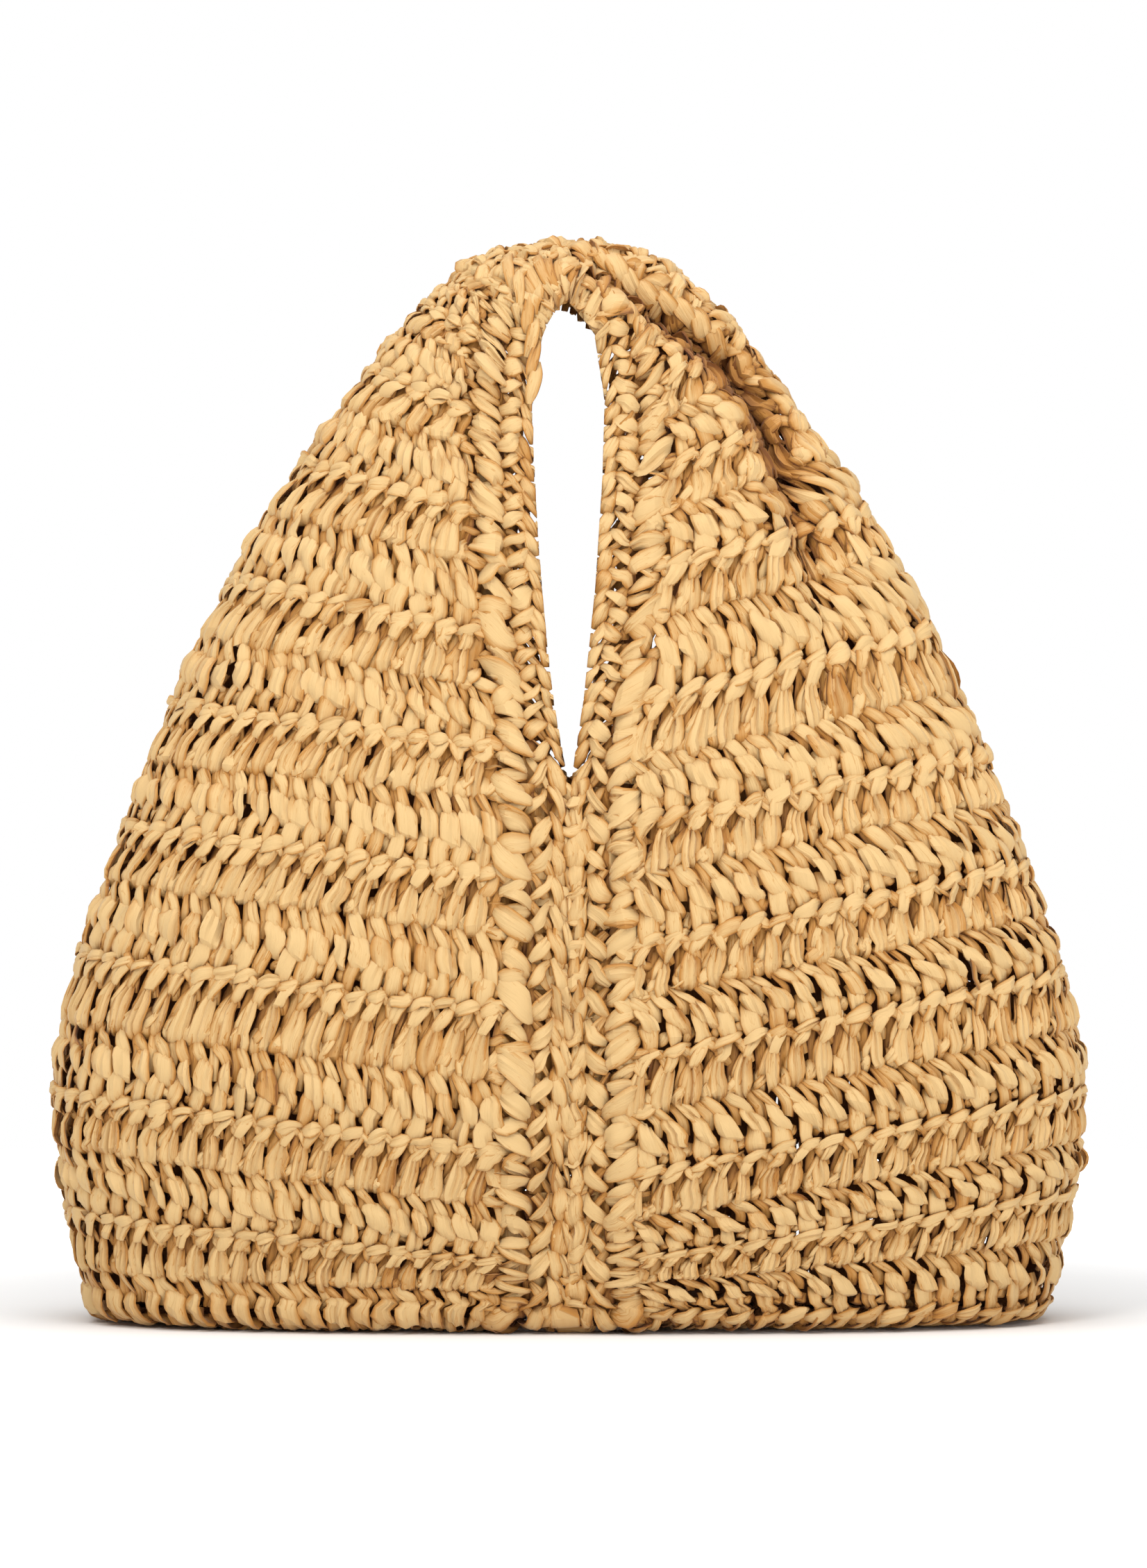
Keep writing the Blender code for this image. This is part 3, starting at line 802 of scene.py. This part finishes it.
def drawn_ribbon(cloth, shapes, points, turned, shade=0.0, samples=15):
    """One ribbon through points on the front, or on the back when turned."""
    anchors = []
    for x, z, c, width in points:
        place, normal = spot(shapes, x * MM, z * MM)
        anchors.append(np.concatenate(((place + normal * c * MM) / MM, normal, (width,))))
    anchors = np.array(anchors)
    if turned:
        anchors[:, (0, 1, 3, 4)] *= -1.0
    smooth = spline_weights(len(anchors), samples) @ anchors
    line, out, wide = smooth[:, :3], smooth[:, 3:6], smooth[:, 6]
    along = np.gradient(line, axis=0)
    along /= np.linalg.norm(along, axis=1, keepdims=True)
    out = out - np.sum(out * along, axis=1, keepdims=True) * along
    out /= np.linalg.norm(out, axis=1, keepdims=True)
    side = np.cross(along, out)
    half, height = ring_offsets(wide[None])
    rings = line[:, None, :] + side[:, None, :] * half[0][..., None]
    rings = rings + out[:, None, :] * height[0][..., None]
    run = np.cumsum(np.linalg.norm(np.diff(line, axis=0, prepend=line[:1]), axis=1))
    start = rng.uniform(0.0, UV_SPREAD, 2)
    uv = np.stack((half[0] + start[0], np.repeat(run[:, None], RING, axis=1) + start[1]), axis=-1)
    # Painted shade darkens each ribbon's rims.
    tone = rng.normal(DRAWN_TONE_MEAN, TONE_SPREAD) + shade - RIM_PAINTED_SHADE * np.tile(RIM_SHADE_MASK, (samples, 1))
    cloth.add(rings[None] * MM, uv[None] * UV_SCALE, tone[None])


# Along a leaf: where its points are, how far they lift in mm, how they slant and how wide they are.
LEAF_SPOTS, LEAF_LIFT = (0.0, 0.3, 0.7, 1.0), (-1.2, 0.8, 1.0, -1.0)
LEAF_SLANT, LEAF_WIDTH = (1.0, 0.4, -0.4, -1.0), (0.5, 1.0, 1.0, 0.5)
SLANT_SHARE, LEAF_LIFT_SPREAD, LEAF_WIDTH_SPREAD = 0.16, 0.3, 0.12


def leaves(path, length, width, overlap=0.35):
    """Short overlapping leaves along a path of x, z, c points: a cord of wrapped ribbon."""
    path = np.array(path, float)
    run = np.concatenate(([0.0], np.cumsum(np.hypot(*np.diff(path[:, :2], axis=0).T))))
    count = max(2, int(run[-1] / (length * (1.0 - overlap))))
    for start in np.linspace(0.0, run[-1] - length, count):
        spots = start + length * np.array(LEAF_SPOTS)
        x, z, c = (np.interp(spots, run, path[:, k]) for k in range(3))
        lift = np.array(LEAF_LIFT) + rng.normal(0.0, LEAF_LIFT_SPREAD, 4)
        slant = np.array(LEAF_SLANT) * SLANT_SHARE * length
        heading = np.array((path[-1, 0] - path[0, 0], path[-1, 1] - path[0, 1]))
        heading /= np.linalg.norm(heading)
        x = x - heading[1] * slant
        z = z + heading[0] * slant
        widths = width * np.array(LEAF_WIDTH) * rng.normal(1.0, LEAF_WIDTH_SPREAD, 4)
        yield list(zip(x, z, c + lift, widths))


# Shades of the two kinds of crown ribbon against the others.
GATHER_SHADE, CORD_SHADE = -0.06, 0.04
# Narrow loops drawn together above the slot's apex.
CROWN_GATHERS = (
    ((-19, 462, 1, 3), (-17, 456, 4, 5), (-13, 449, 4, 5), (-10, 442, 2, 4), (-9, 436, 0, 3)),
    ((-13, 464, 1, 3), (-13, 458, 5, 5), (-10, 451, 5, 5), (-6, 445, 3, 4), (-5, 439, 0, 3)),
    ((-8, 463, 1, 3), (-9, 457, 5, 5), (-7, 450, 5, 4), (-3, 445, 3, 4), (-1, 441, 0, 3)),
    ((-2, 462, 1, 3), (-4, 456, 5, 5), (-3, 450, 4, 4), (0, 446, 2, 3)),
    ((3, 459, 1, 3), (1, 454, 4, 4), (1, 449, 3, 4), (2, 444, 0, 3)),
    ((-23, 458, 1, 4), (-20, 452, 4, 5), (-16, 446, 4, 5), (-14, 438, 1, 4)),
)
# Cords of wrapped leaves: a path, and the length and width of a leaf. The first one runs down
# beside the slot and is on the front only.
CROWN_CORDS = (
    (((-15, 398, 4), (-15.5, 416, 5), (-16, 430, 5), (-19, 443, 5), (-24, 455, 5), (-28, 463, 4)), 17, 5.0),
    (
        ((-3, 463, 4), (6, 463, 5), (18, 458, 6), (30, 451, 5), (42, 445, 4), (56, 436, 4), (68, 424, 3)),
        13,
        8.0,
    ),
    (((2, 450, 3), (12, 447, 4), (21, 440, 4), (29, 431, 3), (36, 422, 2)), 11, 7.0),
)
# Wraps over the top, in cells along the arch and across it: a (along), b (across), c, width in mm.
CAP_CELL, CAP_REACH = 9.0, 54.0
CAP_STITCH = (
    (
        ((-6.0, -3.0, -0.4, 5.0), (-2.4, -1.2, 2.6, 8.2), (2.2, 1.2, 2.8, 8.0), (6.0, 3.0, -0.4, 5.0)),
        0.0,
        0.3,
    ),
    (((-1.6, 6.4, 0.4, 4.0), (0.4, 3.4, 3.2, 6.4), (3.4, -0.6, 3.4, 6.6), (5.4, -4.2, 0.4, 4.4)), 0.03, -0.3),
)


def knit_cap(cloth, shapes):
    """Wraps lying over the crown, from one half to the other."""
    left, right = shapes["left"], shapes["right"]
    steps = round(2.0 * CAP_REACH / CAP_CELL)
    along, across = [], []
    for k in range(steps):
        s = (k + 0.5) * CAP_CELL - CAP_REACH
        shape = left if s < 0.0 else right
        count = round(float(shape.row_length(CROWN - abs(s) * MM / STATION_RISE)) / (CAP_CELL * MM))
        along.extend([s] * count)
        across.extend((np.arange(count) + 0.5) / count)
    along, across = np.array(along), np.array(across)

    def put(a, b, c, cells):
        s = (along[cells] + a) * MM / STATION_RISE
        t = CROWN - np.abs(s)
        left_length, right_length = left.row_length(t), right.row_length(t)
        share = np.clip(across[cells] + b * MM / np.where(s < 0.0, left_length, right_length), 0.0, 1.0)
        on_left = left.place(t, (1.0 - share) * left_length, c)
        on_right = right.place(t, share * right_length, c)
        return np.where((s < 0.0)[..., None], on_left, on_right)

    for pattern, shade, shear, _ in with_defaults(CAP_STITCH):
        lay(cloth, put, pattern, np.arange(len(along)), (1.0, 1.0), CAP_JITTER, shade=shade, shear=shear)


def knit_crown(cloth, shapes):
    """The knot of ribbons where the two halves meet, front and back."""
    knit_cap(cloth, shapes)
    for turned in (False, True):
        for points in CROWN_GATHERS:
            drawn_ribbon(cloth, shapes, points, turned, GATHER_SHADE)
        cords = CROWN_CORDS[1:] if turned else CROWN_CORDS
        for path, length, width in cords:
            for points in leaves(path, length, width):
                drawn_ribbon(cloth, shapes, points, turned, CORD_SHADE)


# ---------------------------------------------------------------- materials


# The ramp's colours: light straw, and the saturated browns that painted shade reaches in creases and deep in
# the fabric.
LIGHT_STRAW = (0.61, 0.408, 0.180)
DARK_STRAW = (0.44, 0.198, 0.038)
SHADED_CREASE_STRAW = (0.17, 0.055, 0.007)
# Where the three colours lie on the ramp of tones, and how much each pattern adds to the tone.
CREASE_AT, DARK_AT, LIGHT_AT = 0.08, 0.47, 0.83
STREAK_TONE, CREASE_TONE, BLOTCH_TONE, FOLD_LINE_SHADE, TONE_OFFSET = 0.15, 0.18, 0.26, -0.18, -0.30
# Noise: its scale across and along the ribbon, and its detail.
STREAKS, CREASES, FOLD_LINES, BLOTCHES = (26.0, 1.1, 4.0), (8.0, 0.8, 2.0), (4.4, 0.42, 1.0), (2.4, 1.2, 3.0)
# A fold line runs where its noise is within this much of a half.
FOLD_LINE_WIDTH = 0.009
# Each bump's strength, and its height in metres.
STREAK_BUMP, CREASE_BUMP = (0.35, 0.0003), (0.6, 0.0007)
ROUGHNESS, SPECULAR, SHEEN, SHEEN_ROUGHNESS = 0.6, 0.3, 0.1, 0.5


def straw_material(name, seed):
    """Paper ribbon: fine lengthwise streaks and creases, faint blotches, painted shade in thin fold lines, and
    a soft sheen.
    """
    material = bpy.data.materials.new(name)
    material.use_nodes = True
    nodes = material.node_tree.nodes
    links = material.node_tree.links
    bsdf = nodes["Principled BSDF"]
    uv = nodes.new("ShaderNodeUVMap")
    uv.uv_map = "ribbon"

    def noise(across, along, detail):
        stretch = nodes.new("ShaderNodeMapping")
        stretch.inputs["Scale"].default_value = (across, along, 1.0)
        stretch.inputs["Location"].default_value = (seed, seed * across, 0.0)
        links.new(uv.outputs["UV"], stretch.inputs["Vector"])
        texture = nodes.new("ShaderNodeTexNoise")
        texture.inputs["Scale"].default_value = 1.0
        texture.inputs["Detail"].default_value = detail
        texture.inputs["Roughness"].default_value = 0.6
        links.new(stretch.outputs["Vector"], texture.inputs["Vector"])
        return texture.outputs["Fac"]

    def weighted(value, factor, offset):
        node = nodes.new("ShaderNodeMath")
        node.operation = "MULTIPLY_ADD"
        links.new(value, node.inputs[0])
        node.inputs[1].default_value = factor
        if isinstance(offset, float):
            node.inputs[2].default_value = offset
        else:
            links.new(offset, node.inputs[2])
        return node.outputs["Value"]

    streaks = noise(*STREAKS)
    creases = noise(*CREASES)
    # Thin dark fold lines along the ribbon: painted shade of creases.
    wander = nodes.new("ShaderNodeMath")
    wander.operation = "COMPARE"
    links.new(noise(*FOLD_LINES), wander.inputs[0])
    wander.inputs[1].default_value = 0.5
    wander.inputs[2].default_value = FOLD_LINE_WIDTH
    folds = wander.outputs["Value"]
    blotches = noise(*BLOTCHES)
    tone_and_shade = nodes.new("ShaderNodeAttribute")
    tone_and_shade.attribute_name = "tone_and_shade"
    tone = weighted(streaks, STREAK_TONE, tone_and_shade.outputs["Fac"])
    tone = weighted(creases, CREASE_TONE, tone)
    tone = weighted(blotches, BLOTCH_TONE, tone)
    tone = weighted(folds, FOLD_LINE_SHADE, tone)
    tone = weighted(tone, 1.0, TONE_OFFSET)
    ramp = nodes.new("ShaderNodeValToRGB")
    ramp.color_ramp.elements[0].position = CREASE_AT
    ramp.color_ramp.elements[0].color = (*SHADED_CREASE_STRAW, 1.0)
    ramp.color_ramp.elements[1].position = LIGHT_AT
    ramp.color_ramp.elements[1].color = (*LIGHT_STRAW, 1.0)
    middle = ramp.color_ramp.elements.new(DARK_AT)
    middle.color = (*DARK_STRAW, 1.0)
    links.new(tone, ramp.inputs["Fac"])
    links.new(ramp.outputs["Color"], bsdf.inputs["Base Color"])
    fine = nodes.new("ShaderNodeBump")
    fine.inputs["Strength"].default_value, fine.inputs["Distance"].default_value = STREAK_BUMP
    links.new(streaks, fine.inputs["Height"])
    coarse = nodes.new("ShaderNodeBump")
    coarse.inputs["Strength"].default_value, coarse.inputs["Distance"].default_value = CREASE_BUMP
    links.new(creases, coarse.inputs["Height"])
    links.new(fine.outputs["Normal"], coarse.inputs["Normal"])
    links.new(coarse.outputs["Normal"], bsdf.inputs["Normal"])
    bsdf.inputs["Roughness"].default_value = ROUGHNESS
    bsdf.inputs["Specular IOR Level"].default_value = SPECULAR
    bsdf.inputs["Sheen Weight"].default_value = SHEEN
    bsdf.inputs["Sheen Roughness"].default_value = SHEEN_ROUGHNESS
    return material



# ---------------------------------------------------------------- the bag

# Between these the fabric bends from the body into the strap.
HINGE_LOW = (0.0, 0.0, 0.262)
HINGE_HIGH = (0.0, 0.0, 0.402)
# The first bands of rows are the base's, and those from TONGUE_BAND on are the tongues'.
PANEL_BAND, TONGUE_BAND = 2, 7


def settle(obj, nodes):
    """Gives a piece its body below the fold or above it, and none when it lies across the fold."""
    heights = np.empty(len(obj.data.vertices) * 3, np.float32)
    obj.data.vertices.foreach_get("co", heights)
    z = heights[2::3]
    if z.max() < HINGE_LOW[2]:
        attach(obj, "bag_body")
    elif z.min() > HINGE_HIGH[2]:
        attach(obj, "strap")
    else:
        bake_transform(obj)
    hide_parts(*nodes)


def make_bag():
    panel_straw = straw_material("raffia_panel", 3.1)
    border_straw = straw_material("raffia_border", 7.7)
    shapes = {word: Side(side) for word, side in SIDES.items()}
    for word, shape in shapes.items():
        lines = ROW_LINES[word]
        for k, (low, high) in enumerate(zip(lines[:-1], lines[1:])):
            cloth = Cloth()
            knit_rows(cloth, shape, word, low, high)
            obj = cloth.build(f"rows_{word}_{k:02d}", panel_straw)
            nodes = [f"panel_{word}"] if k < TONGUE_BAND else [f"tongue_{word}"]
            if k < PANEL_BAND:
                nodes = ["base_panel", "base_edge"]
            settle(obj, nodes)
        for way, front in (("front", True), ("back", False)):
            cloth = Cloth()
            marks = arc_marks(shape, front, -0.5, shape.seam_top, SEAM_STEP)
            knit_border(cloth, shape, front, EDGE_STITCH, marks, SEAM_SHIFT)
            rows = row_marks(word, -1.0, shape.seam_top + 0.3)
            knit_border(cloth, shape, front, END_STITCH, rows, SEAM_SHIFT)
            knit_border(cloth, shape, front, BORDER_LINING, marks, SEAM_SHIFT)
            obj = cloth.build(f"seam_stitches_{way}_{word}", border_straw)
            settle(obj, [f"seam_border_{way}_{word}"])
            cloth = Cloth()
            marks = arc_marks(shape, front, shape.seam_top, CROWN - 0.1, STEP)
            knit_border(cloth, shape, front, EDGE_STITCH, marks)
            rows = row_marks(word, shape.seam_top - 0.2, CROWN - 0.9)
            knit_border(cloth, shape, front, END_STITCH, rows)
            obj = cloth.build(f"slot_stitches_{way}_{word}", border_straw)
            settle(obj, [f"slot_edging_{way}_{word}"])
    for way, front in (("front", True), ("back", False)):
        cloth = Cloth()
        shape = shapes["right"]
        knit_seam(cloth, shape, front, arc_marks(shape, front, -0.5, shape.seam_top - 0.1, SEAM_STEP))
        obj = cloth.build(f"seam_middle_{way}", border_straw)
        settle(obj, [f"seam_lacing_{way}", f"slot_tack_{way}"])
    cloth = Cloth()
    knit_crown(cloth, shapes)
    obj = cloth.build("crown_knot", border_straw)
    settle(obj, ["crown_wrap"])


# ---------------------------------------------------------------- stage, light and camera

WORLD_STRENGTH = 0.38
CAMERA_DISTANCE, SENSOR_HEIGHT = 2.6, 36.0
# The floor glows from none near the bag to white far away, so that it has no visible end.
FLOOR_FADE = (0.27, 0.8, 0.0, 0.9)
FLOOR_REACH, FLOOR_DEPTH, FLOOR_GREY, FLOOR_ROUGHNESS = 2.0, 1.2, 0.93, 0.8
FRAME_HEIGHT = 0.6866
FRAME_MIDDLE = (0.0021, 0.2344)


def make_stage():
    mesh = bpy.data.meshes.new("floor")
    reach, depth = FLOOR_REACH, FLOOR_DEPTH
    corners = [(-reach, -reach, 0.0), (reach, -reach, 0.0), (reach, depth, 0.0), (-reach, depth, 0.0)]
    mesh.from_pydata(corners, [], [(0, 1, 2, 3)])
    floor = bpy.data.objects.new("floor", mesh)
    bpy.context.scene.collection.objects.link(floor)
    material = bpy.data.materials.new("floor")
    material.use_nodes = True
    bsdf = material.node_tree.nodes["Principled BSDF"]
    bsdf.inputs["Base Color"].default_value = (FLOOR_GREY, FLOOR_GREY, FLOOR_GREY, 1.0)
    bsdf.inputs["Roughness"].default_value = FLOOR_ROUGHNESS
    bsdf.inputs["Emission Color"].default_value = (1.0, 1.0, 1.0, 1.0)
    nodes = material.node_tree.nodes
    links = material.node_tree.links
    away = nodes.new("ShaderNodeVectorMath")
    away.operation = "LENGTH"
    links.new(nodes.new("ShaderNodeNewGeometry").outputs["Position"], away.inputs[0])
    fade = nodes.new("ShaderNodeMapRange")
    fade.interpolation_type = "SMOOTHSTEP"
    for name, value in zip(("From Min", "From Max", "To Min", "To Max"), FLOOR_FADE):
        fade.inputs[name].default_value = value
    links.new(away.outputs["Value"], fade.inputs["Value"])
    links.new(fade.outputs["Result"], bsdf.inputs["Emission Strength"])
    mesh.materials.append(material)

    world = bpy.data.worlds.new("studio")
    bpy.context.scene.world = world
    bpy.context.scene.view_settings.view_transform = "Standard"
    world.use_nodes = True
    nodes = world.node_tree.nodes
    links = world.node_tree.links
    seen, light = nodes["Background"], nodes.new("ShaderNodeBackground")
    seen.inputs["Color"].default_value = (1.0, 1.0, 1.0, 1.0)
    light.inputs["Color"].default_value = (1.0, 1.0, 1.0, 1.0)
    light.inputs["Strength"].default_value = WORLD_STRENGTH
    path = nodes.new("ShaderNodeLightPath")
    mix = nodes.new("ShaderNodeMixShader")
    links.new(path.outputs["Is Camera Ray"], mix.inputs["Fac"])
    links.new(light.outputs["Background"], mix.inputs[1])
    links.new(seen.outputs["Background"], mix.inputs[2])
    links.new(mix.outputs["Shader"], nodes["World Output"].inputs["Surface"])


def area_light(name, place, target, size, power, colour=(1.0, 1.0, 1.0)):
    light = bpy.data.lights.new(name, "AREA")
    light.shape = "DISK"
    light.size = size
    light.energy = power
    light.color = colour
    obj = bpy.data.objects.new(name, light)
    bpy.context.scene.collection.objects.link(obj)
    obj.location = place
    away = np.array(place) - np.array(target)
    flat = math.hypot(away[0], away[1])
    obj.rotation_euler = (math.atan2(flat, away[2]), 0.0, math.atan2(away[1], away[0]) + 0.5 * math.pi)


def make_lights():
    area_light("overhead", (0.0, -0.5, 2.2), (0.0, 0.0, 0.0), 2.4, 43.0)
    area_light("key", (-0.9, -2.0, 1.5), (0.0, 0.0, 0.2), 0.9, 19.5, (1.0, 0.99, 0.97))
    area_light("fill", (1.3, -1.9, 0.45), (0.0, 0.0, 0.1), 1.4, 17.0)


def make_camera():
    camera = bpy.data.cameras.new("camera")
    camera.sensor_fit = "VERTICAL"
    camera.sensor_height = SENSOR_HEIGHT
    camera.lens = SENSOR_HEIGHT * CAMERA_DISTANCE / FRAME_HEIGHT
    camera.clip_end = 50.0
    obj = bpy.data.objects.new("camera", camera)
    bpy.context.scene.collection.objects.link(obj)
    obj.location = (FRAME_MIDDLE[0], -CAMERA_DISTANCE, FRAME_MIDDLE[1])
    obj.rotation_euler = (0.5 * math.pi, 0.0, 0.0)
    bpy.context.scene.camera = obj


make_camera()
make_bag()
make_stage()
make_lights()
